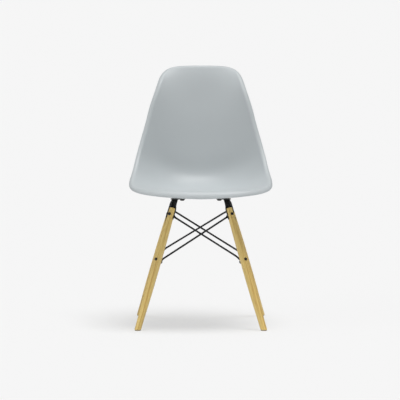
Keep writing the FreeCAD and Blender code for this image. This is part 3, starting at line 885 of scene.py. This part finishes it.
# Chair
make_shell(Sheet())
corners = [Corner(*row) for row in CORNERS]
for number, corner in enumerate(corners):
    make_leg(corner)
    make_bracket(corner)
    make_glide(corner)
    make_side_rods(SIDES[number], corner, corners[(number + 1) % len(corners)])
make_fasteners(corners)

# The inserts are carried over from the solids
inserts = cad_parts["shell_inserts"]
for slot in inserts.material_slots:
    slot.material = INSERT_STEEL


# Floor
def make_floor():
    """Pale floor, whose seen side keeps the shadow but sends less light up."""
    mesh = bpy.data.meshes.new("Floor")
    half = FLOOR_SIZE / 2.0
    points = [(-half, -half, 0.0), (half, -half, 0.0), (half, half, 0.0), (-half, half, 0.0)]
    mesh.from_pydata(points, [], [(0, 1, 2, 3)])
    material, tree, shader = node_material("Floor")
    shader.inputs["Roughness"].default_value = 1.0
    shader.inputs["Specular IOR Level"].default_value = 0.0
    path = tree.nodes.new("ShaderNodeLightPath")
    seen = path.outputs["Is Camera Ray"]
    for ray in ("Is Glossy Ray", "Is Transmission Ray"):
        either = tree.nodes.new("ShaderNodeMath")
        either.operation = "MAXIMUM"
        tree.links.new(seen, either.inputs[0])
        tree.links.new(path.outputs[ray], either.inputs[1])
        seen = either.outputs["Value"]
    colour = tree.nodes.new("ShaderNodeMix")
    colour.data_type = "RGBA"
    colour.inputs["A"].default_value = (FLOOR_BOUNCE, FLOOR_BOUNCE, FLOOR_BOUNCE, 1.0)
    colour.inputs["B"].default_value = (FLOOR_COLOUR, FLOOR_COLOUR, FLOOR_COLOUR, 1.0)
    tree.links.new(seen, colour.inputs["Factor"])
    tree.links.new(colour.outputs["Result"], shader.inputs["Base Color"])
    glow = tree.nodes.new("ShaderNodeEmission")
    glow.inputs["Color"].default_value = (FLOOR_COLOUR, FLOOR_COLOUR, FLOOR_COLOUR, 1.0)
    share = tree.nodes.new("ShaderNodeMath")
    share.operation = "MULTIPLY"
    share.inputs[1].default_value = FLOOR_GLOW
    tree.links.new(seen, share.inputs[0])
    mix = tree.nodes.new("ShaderNodeMixShader")
    tree.links.new(share.outputs["Value"], mix.inputs["Fac"])
    tree.links.new(shader.outputs["BSDF"], mix.inputs[1])
    tree.links.new(glow.outputs["Emission"], mix.inputs[2])
    tree.links.new(mix.outputs["Shader"], tree.nodes["Material Output"].inputs["Surface"])
    mesh.materials.append(material)
    floor = bpy.data.objects.new("Floor", mesh)
    bpy.context.scene.collection.objects.link(floor)


make_floor()


# Light
def make_world():
    """Soft sky that grows brighter from the horizon up, pale where it is seen."""
    world = bpy.data.worlds.new("Studio")
    bpy.context.scene.world = world
    world.use_nodes = True
    tree = world.node_tree
    tree.nodes.clear()
    place = tree.nodes.new("ShaderNodeTexCoord")
    split = tree.nodes.new("ShaderNodeSeparateXYZ")
    level = tree.nodes.new("ShaderNodeMapRange")
    level.inputs["From Min"].default_value = 0.0
    level.inputs["From Max"].default_value = 1.0
    level.inputs["To Min"].default_value = SKY_HORIZON
    level.inputs["To Max"].default_value = SKY_ZENITH
    light = tree.nodes.new("ShaderNodeBackground")
    light.inputs["Color"].default_value = (1.0, 1.0, 1.0, 1.0)
    seen = tree.nodes.new("ShaderNodeBackground")
    seen.inputs["Color"].default_value = (FLOOR_COLOUR, FLOOR_COLOUR, FLOOR_COLOUR, 1.0)
    path = tree.nodes.new("ShaderNodeLightPath")
    mix = tree.nodes.new("ShaderNodeMixShader")
    output = tree.nodes.new("ShaderNodeOutputWorld")
    tree.links.new(place.outputs["Generated"], split.inputs["Vector"])
    tree.links.new(split.outputs["Z"], level.inputs["Value"])
    tree.links.new(level.outputs["Result"], light.inputs["Strength"])
    tree.links.new(path.outputs["Is Camera Ray"], mix.inputs["Fac"])
    tree.links.new(light.outputs["Background"], mix.inputs[1])
    tree.links.new(seen.outputs["Background"], mix.inputs[2])
    tree.links.new(mix.outputs["Shader"], output.inputs["Surface"])


def make_sun(name, towards, share, spread):
    """Soft lamp from a direction, by its share of the light on the floor."""
    lamp = bpy.data.lights.new(name, "SUN")
    direction = Vector(towards).normalized()
    lamp.energy = share * math.pi / direction.z
    lamp.angle = math.radians(spread)
    sun = bpy.data.objects.new(name, lamp)
    sun.rotation_euler = direction.to_track_quat("Z", "Y").to_euler()
    bpy.context.scene.collection.objects.link(sun)


make_world()
for lamp in LAMPS:
    make_sun(*lamp)


# Camera
def make_camera():
    data = bpy.data.cameras.new("Camera")
    data.sensor_width = SENSOR
    data.lens = FOCAL_PIXELS / FRAME_PIXELS * SENSOR
    data.shift_x = (FRAME_PIXELS / 2.0 - MIDDLE_PIXEL) / FRAME_PIXELS
    data.clip_end = CAMERA_REACH
    camera = bpy.data.objects.new("Camera", data)
    camera.location = (0.0, -CAMERA_DISTANCE, CAMERA_HEIGHT)
    camera.rotation_euler = (math.pi / 2.0 - CAMERA_PITCH, 0.0, 0.0)
    bpy.context.scene.collection.objects.link(camera)
    bpy.context.scene.camera = camera


make_camera()
bpy.context.scene.view_settings.view_transform = "Standard"

bpy.context.view_layer.update()
